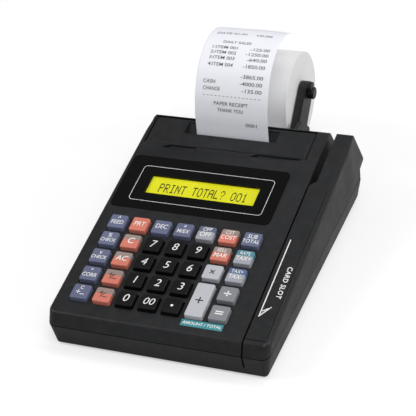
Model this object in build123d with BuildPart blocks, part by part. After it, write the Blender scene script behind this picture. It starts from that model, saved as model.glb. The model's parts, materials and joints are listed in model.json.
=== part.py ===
"""Desk printing calculator with a card slot and an outside paper roll, in millimetres.

Frame: +X to the user's right, +Y to the rear, +Z up. The origin is on the table, at the
centre of the outline seen from above. The deck is the sloping top face: places on it are
given as (x, v), with v measured up the slope from the front ridge.
"""
from build123d import *
import math
import os

os.makedirs("parts", exist_ok=True)

# ------------------------------------------------------------------ case
case_half_width = 80.5
wall = 2.5
base_z = 1.5
base_inset = 3.2
reveal_height = 0.8
reveal_depth = 0.7
parting_z = 19.5
front_y = -151.5
rear_y = 64.5
front_corner_radius = 6.0
rear_corner_radius = 2.0
edge_radius = 3.0

ridge_y = -147.0
ridge_z = 28.45
deck_angle = 9.5
deck_length = 205.2
tip_y = 78.0
tip_z = 26.5
overhang_z = 25.5

# ------------------------------------------------------------------ keys
key_pitch_x = 17.0
key_pitch_v = 17.1
first_key_x = -62.0
first_key_v = 87.0
key_top = 12.5
key_base = 13.3
key_height = 3.2
key_hole = 13.8
key_travel = 1.8
key_corner = 1.4
key_flange = 15.0
key_rows = [
    ["feed", "print", "decimal", "memory", "off", "cost", "subtotal"],
    ["check_up", "clear", "7", "8", "9", "margin", "tax_plus"],
    ["check_down", "all_clear", "4", "5", "6", "multiply", "tax_minus"],
    ["correct", "sign_up", "1", "2", "3", "plus", "divide"],
    ["plus_minus", "sign_down", "0", "00", "point", None, "equals"],
]

# ------------------------------------------------------------------ display
bezel_x = (-76.7, 46.2)
bezel_v = (104.4, 158.7)
bezel_corner = 4.5
bezel_thickness = 1.8
bezel_proud = 0.2
window_x = (-55.3, 28.9)
window_v = (121.1, 139.8)
window_thickness = 1.4
lcd_border = 2.5
lcd_thickness = 5.0

# ------------------------------------------------------------------ boards under the deck
mat_height = -9.5
mat_dome_height = 1.5
board_height = -10.6
board_thickness = 1.6

# ------------------------------------------------------------------ printer bay and cover
cover_x = (-76.1, 52.3)
cover_v = (173.8, 203.0)
cover_gap = 0.3
cover_thickness = 2.2
cover_axis_v = 201.0
cover_axis_height = -2.4
cover_pin_radius = 1.1
exit_x = (-48.5, 24.5)
exit_v = (187.2, 199.5)
ramp_depth = 4.2
notch_depth = 1.6
dip_depth = 0.5

# ------------------------------------------------------------------ card slot
slot_x = (61.6, 62.8)
mouth_x = (61.6, 67.0)
mouth_start_v = 149.2
slot_floor_z = 8.8
guide_wall = 1.5
mouth_wall = 0.9
reader_cover_x = (63.0, 77.4)
reader_cover_v = (3.2, 144.4)
reader_cover_thickness = 2.0
reader_cover_proud = 0.4
head_y = -61.8
head_z = 26.0
head_travel = 0.8
head_size = (6.0, 8.0, 7.0)

# ------------------------------------------------------------------ paper, roll and its holder
paper_x = (-38.9, 18.6)
paper_thickness = 0.2
roll_y = 115.3
roll_z = 51.2
roll_radius = 36.2
core_outer_radius = 9.9
core_bore_radius = 8.9
spindle_radius = 3.0
spindle_z = 56.8
cap_radius = 4.8
cap_thickness = 4.6
pivot_y = 89.3
pivot_z = 33.0
pivot_pin_radius = 3.0
arm_thickness = 6.2
arm_gap = 0.9
arm_base_radius = 10.5
arm_top_radius = 9.0
lug_thickness = 3.0
lug_gap = 0.2
running_clearance = 0.05
inlet = (65.9, 45.2)
inlet_height = 5.0

# ------------------------------------------------------------------ print mechanism
platen_y = 44.8
platen_z = 46.0
platen_radius = 5.0
platen_shaft_radius = 2.0
gear_module = 0.5
platen_teeth = 30
motor_teeth = 18
motor_angle = -45.0
motor_radius = 7.5
motor_shaft_radius = 1.0
gear_backlash = 0.12

# ------------------------------------------------------------------ battery bay and power jack
bay_x = (-35.0, 30.0)
bay_y = (-72.0, -8.0)
bay_top_z = 19.0
bay_wall = 2.0
door_gap = 0.3
door_thickness = 2.0
door_axis_y = bay_y[0] + 1.7
door_axis_z = base_z + 1.1
door_pin_radius = 0.9
jack_x = -52.0
jack_z = 11.5
jack_opening_radius = 4.2
jack_bore_radius = 2.8
jack_pin_radius = 1.0

paper_mid_x = (paper_x[0] + paper_x[1]) / 2
paper_width = paper_x[1] - paper_x[0]

deck_rise = math.radians(deck_angle)
deck = Plane(
    origin=(0, ridge_y, ridge_z),
    x_dir=(1, 0, 0),
    z_dir=(0, -math.sin(deck_rise), math.cos(deck_rise)),
)


def deck_point(v, height=0.0):
    """The (y, z) of a point v up the deck and height above it."""
    y = ridge_y + v * math.cos(deck_rise) - height * math.sin(deck_rise)
    z = ridge_z + v * math.sin(deck_rise) + height * math.cos(deck_rise)
    return y, z


def finish(part, label):
    """Label a finished piece and write its STEP file."""
    part.label = label
    export_step(part, f"parts/{label}.step")


def on_deck(edge, tolerance=0.01):
    """True for an edge of the case that lies in the deck."""
    return abs(deck.to_local_coords(edge.center()).Z) < tolerance


def spread(limits):
    """The middle and the length of a (low, high) pair."""
    return (limits[0] + limits[1]) / 2, limits[1] - limits[0]


# ------------------------------------------------------------------ outline of the case
rear_top = deck_point(deck_length)
top_outline = [
    (front_y, parting_z),
    (ridge_y, ridge_z),
    rear_top,
    (tip_y, tip_z),
    (rear_y + 0.8, overhang_z),
    (rear_y, parting_z),
]

# Two shallow facets on each side wall lean inwards towards the rear:
# the upper and the lower end of each crease, and its lean in degrees.
facets = [
    ((37.2, 59.3), (61.3, 4.5), 4.0),
    ((56.8, 51.4), (65.5, 25.5), 8.0),
]


def facet_planes(inset):
    """The four facet planes, moved into the case by inset."""
    planes = []
    for upper, lower, lean in facets:
        along = Vector(0, lower[0] - upper[0], lower[1] - upper[1]).normalized()
        rearward = Vector(0, -along.Z, along.Y)
        tilt = math.radians(lean)
        for side in (-1, 1):
            outward = Vector(side * math.cos(tilt), 0, 0) + rearward * math.sin(tilt)
            start = Vector(side * case_half_width, *upper) - outward * inset
            planes.append(Plane(origin=start, x_dir=along, z_dir=outward))
    return planes


def case_side(inset, below=0):
    """Side view of the upper case carried down by below, then drawn in by inset."""
    with BuildSketch() as side_view:
        with BuildLine():
            Polyline(*top_outline, close=True)
        make_face()
        if below:
            with Locations(((front_y + rear_y) / 2, parting_z - below / 2)):
                Rectangle(rear_y - front_y, below)
        if inset:
            offset(amount=-inset, kind=Kind.INTERSECTION)
    return side_view.sketch_local


def case_plan(inset):
    """The case's outline seen from above, drawn in by inset."""
    with BuildSketch() as plan:
        with Locations((0, (front_y + rear_y) / 2)):
            Rectangle(2 * (case_half_width - inset), rear_y - front_y - 2 * inset)
        by_depth = plan.vertices().group_by(Axis.Y)
        fillet(by_depth[0], max(front_corner_radius - inset, 1.0))
        fillet(by_depth[-1], max(rear_corner_radius - inset / 2, 0.8))
    return plan.sketch_local


with BuildPart() as top_cavity:
    with BuildSketch(Plane.YZ):
        add(case_side(wall, below=20))
    extrude(amount=case_half_width - wall, both=True)
    for plane in facet_planes(wall):
        split(bisect_by=plane, keep=Keep.BOTTOM)

# ------------------------------------------------------------------ places shared by both shells
screw_places = [(-73, -137), (73, -137), (-72, 46), (72, 46)]
screw_radius = 1.25
boss_top_z = 12.0
boss_radius = 4.0
counterbore_radius = 3.3
counterbore_z = 6.0
foot_places = [(-62, -134), (62, -134), (-62, 44), (62, 44)]
foot_radius = 6.0
foot_height = 2.2
board_posts = [(-74.5, 30), (-74.5, 95), (55.5, 30), (55.5, 95), (55.5, 160)]
board_post_radius = 2.4


def key_places():
    """Each key's name, middle x, middle v and extra height (the plus key spans two rows)."""
    for row, names in enumerate(key_rows):
        for column, name in enumerate(names):
            if name is not None:
                extra = key_pitch_v if name == "plus" else 0
                x = first_key_x + column * key_pitch_x
                v = first_key_v - row * key_pitch_v - extra / 2
                yield name, x, v, extra


# ------------------------------------------------------------------ top shell
with BuildPart() as top_shell:
    with BuildSketch(Plane.YZ):
        add(case_side(0))
    extrude(amount=case_half_width, both=True)
    for plane in facet_planes(0):
        split(bisect_by=plane, keep=Keep.BOTTOM)
    side_edges = top_shell.edges().filter_by(lambda e: abs(e.center().X) > case_half_width - 0.01)
    fillet(side_edges.sort_by(Axis.Y)[:2], front_corner_radius)
    fillet(top_shell.edges().filter_by(on_deck), edge_radius)
    fillet(top_shell.edges().filter_by(Axis.X).sort_by(Axis.Y)[-1], edge_radius / 2)
    add(top_cavity.part, mode=Mode.SUBTRACT)

    # Posts for the case screws and for the main board hang from the deck.
    for x, y in screw_places:
        with BuildSketch(Plane.XY.offset(boss_top_z)):
            with Locations((x, y)):
                Circle(boss_radius - 0.5)
        extrude(until=Until.NEXT)
        with BuildSketch(Plane.XY.offset(boss_top_z)):
            with Locations((x, y)):
                Circle(screw_radius)
        extrude(amount=10, mode=Mode.SUBTRACT)
    with BuildSketch(deck.offset(board_height)):
        with Locations(*board_posts):
            Circle(board_post_radius)
    extrude(amount=-board_height - wall + 0.2)

    # Ledge that carries the printer cover, under the deck at the front and the sides.
    ledge_x, ledge_width = spread(cover_x)
    ledge_front = cover_v[0] - 3
    ledge_rear = cover_axis_v - 5
    with BuildSketch(deck.offset(-wall - 1.5)):
        with Locations((ledge_x, (ledge_front + ledge_rear) / 2)):
            Rectangle(ledge_width + 2.8, ledge_rear - ledge_front)
        with Locations((ledge_x, (cover_v[0] + 2 + ledge_rear + 5) / 2)):
            Rectangle(ledge_width - 5, ledge_rear + 5 - cover_v[0] - 2, mode=Mode.SUBTRACT)
    extrude(amount=1.6)
    with BuildSketch(deck.offset(-wall)):
        with Locations((ledge_x, (cover_v[0] + cover_v[1]) / 2)):
            Rectangle(ledge_width + 2 * cover_gap, cover_v[1] - cover_v[0] + 2 * cover_gap)
        with Locations((ledge_x, cover_v[1])):
            Rectangle(ledge_width + 2 * cover_gap, 4 * cover_gap)
    extrude(amount=wall + 1, mode=Mode.SUBTRACT)

    # Blocks with the bores that the cover's pins turn in.
    for side, edge_x in ((-1, cover_x[0]), (1, cover_x[1])):
        with BuildSketch(Plane.YZ.offset(edge_x + side * 0.4)):
            with Locations(deck_point(cover_axis_v, cover_axis_height - 0.8)):
                Rectangle(5, 4.6, rotation=deck_angle)
        extrude(amount=side * 2.6)
        with BuildSketch(Plane.YZ.offset(edge_x)):
            with Locations(deck_point(cover_axis_v, cover_axis_height)):
                Circle(cover_pin_radius + running_clearance)
        extrude(amount=side * 2.4, mode=Mode.SUBTRACT)

    # Finger notches along the front edge of the printer cover, and the dip between them.
    for left, right, depth in ((-60.5, -33.4, 5.6), (9.1, 49.0, 5.2)):
        with BuildSketch(deck.offset(-notch_depth)):
            with BuildLine():
                Polyline(
                    (left, cover_v[0] - depth * 0.62),
                    (left + 8, cover_v[0] + 0.5),
                    (right, cover_v[0] + 0.5),
                    (right, cover_v[0] - depth * 0.3),
                    (left + 12, cover_v[0] - depth),
                    close=True,
                )
            make_face()
        extrude(amount=notch_depth + 1, mode=Mode.SUBTRACT)
    with BuildSketch(deck.offset(-dip_depth)):
        with Locations((-12.1, cover_v[0] - 3.4)):
            Rectangle(42.6, 7.4)
    extrude(amount=2, mode=Mode.SUBTRACT)

    # Seat for the display bezel, and the opening behind it for the display itself.
    with BuildSketch(deck.offset(bezel_proud - bezel_thickness)):
        with Locations((spread(bezel_x)[0], spread(bezel_v)[0])):
            RectangleRounded(spread(bezel_x)[1] + 0.3, spread(bezel_v)[1] + 0.3, bezel_corner)
    extrude(amount=bezel_thickness + 1, mode=Mode.SUBTRACT)
    with BuildSketch(deck.offset(-wall - 1)):
        with Locations((spread(window_x)[0], spread(window_v)[0])):
            Rectangle(spread(window_x)[1] + 6, spread(window_v)[1] + 6)
    extrude(amount=wall + 2, mode=Mode.SUBTRACT)

    # One hole for each key.
    with BuildSketch(deck.offset(-wall - 1)):
        for name, x, v, extra in key_places():
            with Locations((x, v)):
                RectangleRounded(key_hole, key_hole + extra, 1.2)
    extrude(amount=wall + 2, mode=Mode.SUBTRACT)

    # Card channel: two walls and a floor that join the reader side to the rest of the shell.
    # It stays inside the case's skin and clear of the bottom shell's walls.
    for left, right, start_y in (
        (slot_x[0] - guide_wall, slot_x[1] + guide_wall, front_y - 1),
        (mouth_x[0] - guide_wall, mouth_x[1] + mouth_wall, deck_point(mouth_start_v - 3)[0]),
    ):
        with BuildSketch(Plane.YZ.offset(left)):
            add(case_side(1.2, below=20))
            with Locations((0, slot_floor_z - guide_wall - 20)):
                Rectangle(400, 40, mode=Mode.SUBTRACT)
            for y in (front_y, rear_y):
                with Locations((y, parting_z - 9)):
                    Rectangle(10.4, 20, mode=Mode.SUBTRACT)
            with Locations((start_y - 100, 30)):
                Rectangle(200, 100, mode=Mode.SUBTRACT)
        extrude(amount=right - left)

    # Shelves that the read head slides between, beside its window.
    for side in (-1, 1):
        with Locations((slot_x[1] + 5.2, head_y, head_z + side * (head_size[2] / 2 + 0.8))):
            Box(8.4, head_size[1] + 3, 1.4)

    # Card slot: a narrow slit up the deck and down the front, and a wide mouth at the rear.
    mouth_y = deck_point(mouth_start_v)[0]
    with BuildSketch(Plane.XY.offset(slot_floor_z)):
        with Locations((spread(slot_x)[0], (front_y - 1 + mouth_y) / 2)):
            Rectangle(spread(slot_x)[1], mouth_y - front_y + 1)
        with BuildLine():
            Polyline(
                (mouth_x[0], mouth_y - 1),
                (slot_x[1], mouth_y - 1),
                (mouth_x[1], mouth_y + 4),
                (mouth_x[1], tip_y + 1),
                (mouth_x[0], tip_y + 1),
                close=True,
            )
        make_face()
    extrude(amount=70, mode=Mode.SUBTRACT)
    with Locations((slot_x[1] + 0.9, head_y, head_z)):
        Box(2.4, head_size[1] - 1.2, head_size[2] - 0.4, mode=Mode.SUBTRACT)

    # Seat for the reader cover.
    with BuildSketch(deck.offset(reader_cover_proud - reader_cover_thickness)):
        with Locations((spread(reader_cover_x)[0] - 0.3, spread(reader_cover_v)[0])):
            Rectangle(spread(reader_cover_x)[1] + 1.0, spread(reader_cover_v)[1] + 0.4)
    extrude(amount=reader_cover_thickness + 1, mode=Mode.SUBTRACT)

    # Slot in the sloping rear face where the paper goes in.
    with Locations((paper_mid_x, *inlet)):
        Box(paper_width + 5, 14, inlet_height, mode=Mode.SUBTRACT)

    # Lugs that the roll holder turns on.
    for side in (-1, 1):
        inner_x = paper_mid_x + side * (paper_width / 2 + arm_gap + arm_thickness + lug_gap)
        with BuildSketch(Plane.YZ.offset(inner_x)) as lug:
            with BuildLine():
                Polyline(
                    (rear_top[0] + 7.6, 48.0),
                    (pivot_y - 3.5, 49.0),
                    (pivot_y + 12.5, 33.5),
                    (pivot_y + 7.5, 24.0),
                    (tip_y - 3.0, tip_z + 0.8),
                    close=True,
                )
            make_face()
            fillet(lug.vertices().sort_by(Axis.X)[-3:], 3.0)
            with Locations((pivot_y, pivot_z)):
                Circle(pivot_pin_radius + running_clearance, mode=Mode.SUBTRACT)
        extrude(amount=side * lug_thickness)
finish(top_shell.part, "top_shell")

# ------------------------------------------------------------------ bottom shell
with BuildPart() as bottom_cavity:
    with BuildSketch(Plane.XY.offset(base_z + wall)):
        add(case_plan(base_inset + wall - 0.3))
    with BuildSketch(Plane.XY.offset(parting_z)):
        add(case_plan(wall))
    loft()
    for plane in facet_planes(wall):
        split(bisect_by=plane, keep=Keep.BOTTOM)

bay_mid = (spread(bay_x)[0], spread(bay_y)[0])
bay_size = (spread(bay_x)[1], spread(bay_y)[1])
with BuildPart() as bottom_shell:
    with BuildSketch(Plane.XY.offset(base_z)):
        add(case_plan(base_inset))
    with BuildSketch(Plane.XY.offset(parting_z)):
        add(case_plan(0))
    loft()
    for plane in facet_planes(0):
        split(bisect_by=plane, keep=Keep.BOTTOM)
    fillet(bottom_shell.faces().sort_by(Axis.Z)[0].edges(), 2.0)
    add(bottom_cavity.part, mode=Mode.SUBTRACT)

    # Reveal groove under the parting line.
    with BuildSketch(Plane.XY.offset(parting_z - reveal_height)):
        add(case_plan(-1.0))
        add(case_plan(reveal_depth), mode=Mode.SUBTRACT)
    extrude(amount=reveal_height + 0.1, mode=Mode.SUBTRACT)

    # Card slot, down the front wall, and the slot's mouth in the rear wall.
    for (x, width), y in ((spread(slot_x), front_y + 3), (spread(mouth_x), rear_y - 3)):
        with Locations((x, y, (slot_floor_z + parting_z) / 2 + 0.5)):
            Box(width, 12, parting_z - slot_floor_z + 1, mode=Mode.SUBTRACT)

    # Screw bosses, opened from below, and recesses for the feet.
    with BuildSketch(Plane.XY.offset(base_z + wall - 0.2)):
        with Locations(*screw_places):
            Circle(boss_radius)
    extrude(amount=boss_top_z - base_z - wall + 0.2)
    with Locations(*[(x, y, base_z) for x, y in screw_places]):
        Cylinder(screw_radius + 0.5, 30, mode=Mode.SUBTRACT)
        Cylinder(counterbore_radius, 2 * (counterbore_z - base_z), mode=Mode.SUBTRACT)
    with BuildSketch(Plane.XY.offset(foot_height)):
        with Locations(*foot_places):
            Circle(foot_radius + 0.1)
    extrude(amount=-5, mode=Mode.SUBTRACT)

    # Battery bay: a tub with its opening in the underside, and bores for the door's pins.
    with BuildSketch(Plane.XY.offset(base_z + 0.5)):
        with Locations(bay_mid):
            Rectangle(bay_size[0] + 2 * bay_wall, bay_size[1] + 2 * bay_wall)
    extrude(amount=bay_top_z + 1.5 - base_z - 0.5)
    with BuildSketch(Plane.XY.offset(base_z - 1)):
        with Locations(bay_mid):
            Rectangle(*bay_size)
    extrude(amount=bay_top_z - base_z + 1, mode=Mode.SUBTRACT)
    for side, x in ((-1, bay_x[0]), (1, bay_x[1])):
        with BuildSketch(Plane.YZ.offset(x - side)):
            with Locations((door_axis_y, door_axis_z)):
                Circle(door_pin_radius + running_clearance)
        extrude(amount=side * 2.6, mode=Mode.SUBTRACT)

    # Opening for the power jack in the rear wall.
    with BuildSketch(Plane.XZ.offset(-rear_y)):
        with Locations((jack_x, jack_z)):
            Circle(jack_opening_radius)
    extrude(amount=8, both=True, mode=Mode.SUBTRACT)
finish(bottom_shell.part, "bottom_shell")

# ------------------------------------------------------------------ battery door
with BuildPart() as battery_door:
    with BuildSketch(Plane.XY.offset(base_z)):
        with Locations((bay_mid[0], bay_mid[1] + 0.1)):
            Rectangle(bay_size[0] - 2 * door_gap, bay_size[1] - 0.8)
    extrude(amount=door_thickness)
    lower_front = battery_door.edges().filter_by(Axis.X).group_by(Axis.Y)[0]
    chamfer(lower_front, 0.7)
    # Grip ridges across the outer face, and the pins that the door turns on.
    with BuildSketch(Plane.XY.offset(base_z)):
        with GridLocations(0, 3.0, 1, 5):
            with Locations((bay_mid[0], bay_y[1] - 14)):
                Rectangle(26, 1.2)
    extrude(amount=0.6, mode=Mode.SUBTRACT)
    with BuildSketch(Plane.YZ.offset(bay_x[0] - 1.4)):
        with Locations((door_axis_y, door_axis_z)):
            Circle(door_pin_radius)
    extrude(amount=3.4)
    with BuildSketch(Plane.YZ.offset(bay_x[1] + 1.4)):
        with Locations((door_axis_y, door_axis_z)):
            Circle(door_pin_radius)
    extrude(amount=-3.4)
finish(battery_door.part, "battery_door")

# ------------------------------------------------------------------ power jack
with BuildPart() as dc_jack:
    with Locations((jack_x, rear_y - 12.2, jack_z)):
        Box(9.5, 12.0, 10.5)
    with BuildSketch(Plane.XZ.offset(-rear_y + 7)):
        with Locations((jack_x, jack_z)):
            Circle(jack_opening_radius - 0.3)
    extrude(amount=-5.2)
    with BuildSketch(Plane.XZ.offset(-rear_y + 1)):
        with Locations((jack_x, jack_z)):
            Circle(jack_bore_radius)
            Circle(jack_pin_radius, mode=Mode.SUBTRACT)
    extrude(amount=11, mode=Mode.SUBTRACT)
finish(dc_jack.part, "dc_jack")

# ------------------------------------------------------------------ feet and case screws
with BuildPart() as feet:
    with BuildSketch(Plane.XY.offset(foot_height)):
        with Locations(*foot_places):
            Circle(foot_radius)
    extrude(amount=-foot_height)
    fillet(feet.edges().group_by(Axis.Z)[0], 0.6)
finish(feet.part, "feet")

with BuildPart() as case_screws:
    with BuildSketch(Plane.XY.offset(counterbore_z)):
        with Locations(*screw_places):
            Circle(3.0)
    extrude(amount=-2.0)
    fillet(case_screws.edges().group_by(Axis.Z)[0], 0.7)
    with BuildSketch(Plane.XY.offset(counterbore_z)):
        with Locations(*screw_places):
            Circle(screw_radius)
    extrude(amount=14)
    with BuildSketch(Plane.XY.offset(counterbore_z - 2.0)):
        with Locations(*screw_places):
            Rectangle(3.6, 0.8)
            Rectangle(0.8, 3.6)
    extrude(amount=1.1, mode=Mode.SUBTRACT)
finish(case_screws.part, "case_screws")

# ------------------------------------------------------------------ printer cover
with BuildPart() as printer_cover:
    with BuildSketch(deck.offset(-cover_thickness)):
        with Locations((spread(cover_x)[0], spread(cover_v)[0])):
            RectangleRounded(spread(cover_x)[1], spread(cover_v)[1], 1.0)
    extrude(amount=cover_thickness)
    rear_edge = printer_cover.edges().filter_by(Axis.X).sort_by(Axis.Y)[-2:]
    fillet(rear_edge.sort_by(Axis.Z)[-1], 1.8)

    # Paper exit: an opening, with side walls and a ramp that the paper slides up on.
    with BuildSketch(deck.offset(-cover_thickness - 1)):
        with Locations((spread(exit_x)[0], spread(exit_v)[0])):
            Rectangle(spread(exit_x)[1], spread(exit_v)[1])
    extrude(amount=cover_thickness + 2, mode=Mode.SUBTRACT)
    ramp_foot_v = exit_v[0] + 3.8
    with BuildSketch(Plane.YZ.offset(exit_x[0] - 1.5)):
        with BuildLine():
            Polyline(
                deck_point(exit_v[1] + 1.5, -0.7),
                deck_point(exit_v[1], -0.7),
                deck_point(ramp_foot_v, -ramp_depth),
                deck_point(ramp_foot_v, -ramp_depth - 1.4),
                deck_point(exit_v[1] + 1.5, -cover_thickness - 0.6),
                close=True,
            )
        make_face()
    extrude(amount=spread(exit_x)[1] + 3.0)
    for x in (exit_x[0] - 1.5, exit_x[1]):
        with BuildSketch(Plane.YZ.offset(x)):
            with BuildLine():
                Polyline(
                    deck_point(exit_v[1] + 1.5, -0.7),
                    deck_point(exit_v[0], -0.7),
                    deck_point(exit_v[0], -cover_thickness - 0.5),
                    deck_point(ramp_foot_v, -ramp_depth - 1.4),
                    deck_point(exit_v[1] + 1.5, -cover_thickness - 0.6),
                    close=True,
                )
            make_face()
        extrude(amount=1.5)

    # Saw-tooth tear edge along the front of the opening.
    tooth_count = 40
    tooth_pitch = spread(exit_x)[1] / tooth_count
    with BuildSketch(deck.offset(-1.0)):
        for tooth in range(tooth_count):
            left = exit_x[0] + tooth * tooth_pitch
            with BuildLine():
                Polyline(
                    (left, exit_v[0] - 0.1),
                    (left + tooth_pitch, exit_v[0] - 0.1),
                    (left + tooth_pitch / 2, exit_v[0] + 0.6),
                    close=True,
                )
            make_face()
    extrude(amount=1.0)

    # Ears and pins that the cover turns on.
    for side, edge_x in ((-1, cover_x[0]), (1, cover_x[1])):
        with BuildSketch(Plane.YZ.offset(edge_x)):
            with Locations(deck_point(cover_axis_v, cover_axis_height)):
                Circle(1.9)
        extrude(amount=-side * 3.0)
        with BuildSketch(Plane.YZ.offset(edge_x)):
            with Locations(deck_point(cover_axis_v, cover_axis_height)):
                Circle(cover_pin_radius)
        extrude(amount=side * 2.2)
finish(printer_cover.part, "printer_cover")

# ------------------------------------------------------------------ display
with BuildPart() as display_bezel:
    with BuildSketch(deck.offset(bezel_proud - bezel_thickness)):
        with Locations((spread(bezel_x)[0], spread(bezel_v)[0])):
            RectangleRounded(spread(bezel_x)[1], spread(bezel_v)[1], bezel_corner)
        with Locations((spread(window_x)[0], spread(window_v)[0])):
            Rectangle(spread(window_x)[1], spread(window_v)[1], mode=Mode.SUBTRACT)
    extrude(amount=bezel_thickness)
finish(display_bezel.part, "display_bezel")

with BuildPart() as display_window:
    with BuildSketch(deck.offset(bezel_proud - bezel_thickness)):
        with Locations((spread(window_x)[0], spread(window_v)[0])):
            Rectangle(spread(window_x)[1] - 0.1, spread(window_v)[1] - 0.1)
    extrude(amount=window_thickness)
finish(display_window.part, "display_window")

lcd_top = bezel_proud - bezel_thickness - 0.1
with BuildPart() as lcd_panel:
    with BuildSketch(deck.offset(lcd_top - lcd_thickness)):
        with Locations((spread(window_x)[0], spread(window_v)[0])):
            Rectangle(spread(window_x)[1] + 2 * lcd_border, spread(window_v)[1] + 2 * lcd_border)
    extrude(amount=lcd_thickness)
    # Two pin strips stand the display on the main board.
    with BuildSketch(deck.offset(board_height)):
        with Locations((spread(window_x)[0], window_v[0]), (spread(window_x)[0], window_v[1])):
            Rectangle(60, 2.5)
    extrude(amount=lcd_top - lcd_thickness - board_height + 0.1)
finish(lcd_panel.part, "lcd_panel")

# ------------------------------------------------------------------ main board and keypad mat
board_x = (-77.2, 58.6)
board_v = (13.2, 166.0)
with BuildPart() as main_board:
    with BuildSketch(deck.offset(board_height - board_thickness)):
        with Locations((spread(board_x)[0], spread(board_v)[0])):
            Rectangle(spread(board_x)[1], spread(board_v)[1])
    extrude(amount=board_thickness)
    # Processor, memory and driver packages on the underside, and the printer's connector.
    for x, v, width, depth, height in (
        (-20, 110, 14, 14, 1.6), (8, 112, 10, 8, 1.6), (-50, 108, 16, 7, 1.8),
        (30, 60, 7, 16, 1.8), (-10, 158, 34, 5, 4.5),
    ):
        with BuildSketch(deck.offset(board_height - board_thickness)):
            with Locations((x, v)):
                Rectangle(width, depth)
        extrude(amount=-height)
finish(main_board.part, "main_board")

mat_x = (-69.0, 48.6)
mat_v = (13.4, 96.5)
dome_radius = 4.6
with BuildPart() as keypad_mat:
    with BuildSketch(deck.offset(board_height)):
        with Locations((spread(mat_x)[0], spread(mat_v)[0])):
            RectangleRounded(spread(mat_x)[1], spread(mat_v)[1], 2.0)
    extrude(amount=mat_height - board_height)
    for name, x, v, extra in key_places():
        with BuildSketch(deck.offset(mat_height)):
            with Locations((x, v)):
                Circle(dome_radius)
        extrude(amount=mat_dome_height, taper=35)
finish(keypad_mat.part, "keypad_mat")

# ------------------------------------------------------------------ keys
flange_top = -wall - 0.2
stem_foot = mat_height + mat_dome_height + key_travel + 0.1
for name, x, v, extra in key_places():
    with BuildPart() as key:
        with BuildSketch(deck.offset(flange_top - 0.1)):
            with Locations((x, v)):
                RectangleRounded(key_base, key_base + extra, key_corner)
        with BuildSketch(deck.offset(key_height)):
            with Locations((x, v)):
                RectangleRounded(key_top, key_top + extra, key_corner)
        loft()
        fillet(key.faces().sort_by(Axis.Z)[-1].edges(), 0.6)
        with BuildSketch(deck.offset(flange_top - 1.0)):
            with Locations((x, v)):
                RectangleRounded(key_flange, key_flange + extra, key_corner)
        extrude(amount=1.0)
        with BuildSketch(deck.offset(stem_foot)):
            with Locations((x, v)):
                Circle(2.2)
        extrude(amount=flange_top - 0.9 - stem_foot)
    finish(key.part, f"key_{name}")

# ------------------------------------------------------------------ card reader
with BuildPart() as reader_cover:
    with BuildSketch(deck.offset(reader_cover_proud - reader_cover_thickness)):
        with Locations((spread(reader_cover_x)[0], spread(reader_cover_v)[0])):
            Rectangle(spread(reader_cover_x)[1], spread(reader_cover_v)[1])
    extrude(amount=reader_cover_thickness)
    fillet(reader_cover.faces().sort_by(Axis.Z)[-1].edges(), 0.35)
finish(reader_cover.part, "reader_cover")

with BuildPart() as read_head:
    head_face_x = slot_x[0] + 0.3
    with Locations((slot_x[1] + guide_wall + 0.95 + head_size[0] / 2, head_y, head_z)):
        Box(*head_size)
    # The nose reaches through the channel's window into the slot.
    with BuildSketch(Plane.XZ.offset(-head_y)):
        with BuildLine():
            body_x = slot_x[1] + guide_wall + 1.0
            Line((body_x, head_z - 2.6), (body_x, head_z + 2.6))
            Line((body_x, head_z + 2.6), (head_face_x + 0.8, head_z + 2.6))
            ThreePointArc(
                (head_face_x + 0.8, head_z + 2.6), (head_face_x, head_z), (head_face_x + 0.8, head_z - 2.6)
            )
            Line((head_face_x + 0.8, head_z - 2.6), (body_x, head_z - 2.6))
        make_face()
    extrude(amount=2.8, both=True)
finish(read_head.part, "read_head")

# ------------------------------------------------------------------ print mechanism
frame_y = (30.2, 58.2)
frame_top_z = 52.0
frame_foot_z = base_z + wall + 0.1
deck_plate_z = 29.0
sheet = 1.6
left_plate_x = paper_x[0] - 5.1
right_plate_x = paper_x[1] + 3.4
outer_plate_x = right_plate_x + 9.0
bush_radius = 3.6
motor_reach = gear_module * (platen_teeth + motor_teeth) / 2
motor_y = platen_y + motor_reach * math.cos(math.radians(motor_angle))
motor_z = platen_z + motor_reach * math.sin(math.radians(motor_angle))

with BuildPart() as printer_frame:
    for x in (left_plate_x, right_plate_x, outer_plate_x):
        with BuildSketch(Plane.YZ.offset(x)):
            with Locations((spread(frame_y)[0], (frame_foot_z + frame_top_z) / 2)):
                Rectangle(spread(frame_y)[1], frame_top_z - frame_foot_z)
            with Locations((platen_y, platen_z)):
                Circle(bush_radius, mode=Mode.SUBTRACT)
            if x == outer_plate_x:
                with Locations((motor_y, motor_z)):
                    Circle(2.5, mode=Mode.SUBTRACT)
        extrude(amount=sheet)
    with Locations(((left_plate_x + outer_plate_x + sheet) / 2, spread(frame_y)[0], deck_plate_z + sheet / 2)):
        Box(outer_plate_x + sheet - left_plate_x, spread(frame_y)[1], sheet)
finish(printer_frame.part, "printer_frame")

with BuildPart() as platen_bushes:
    for x in (left_plate_x, right_plate_x, outer_plate_x):
        with BuildSketch(Plane.YZ.offset(x)):
            with Locations((platen_y, platen_z)):
                Circle(bush_radius)
                Circle(platen_shaft_radius + running_clearance, mode=Mode.SUBTRACT)
        extrude(amount=sheet)
finish(platen_bushes.part, "platen_bushes")

with BuildPart() as platen_roller:
    with BuildSketch(Plane.YZ.offset(paper_x[0] - 0.6)):
        with Locations((platen_y, platen_z)):
            Circle(platen_radius)
    extrude(amount=paper_width + 1.2)
    with BuildSketch(Plane.YZ.offset(left_plate_x - 1.5)):
        with Locations((platen_y, platen_z)):
            Circle(platen_shaft_radius)
    extrude(amount=outer_plate_x + sheet + 1.2 - left_plate_x + 1.5)
finish(platen_roller.part, "platen_roller")


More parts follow.
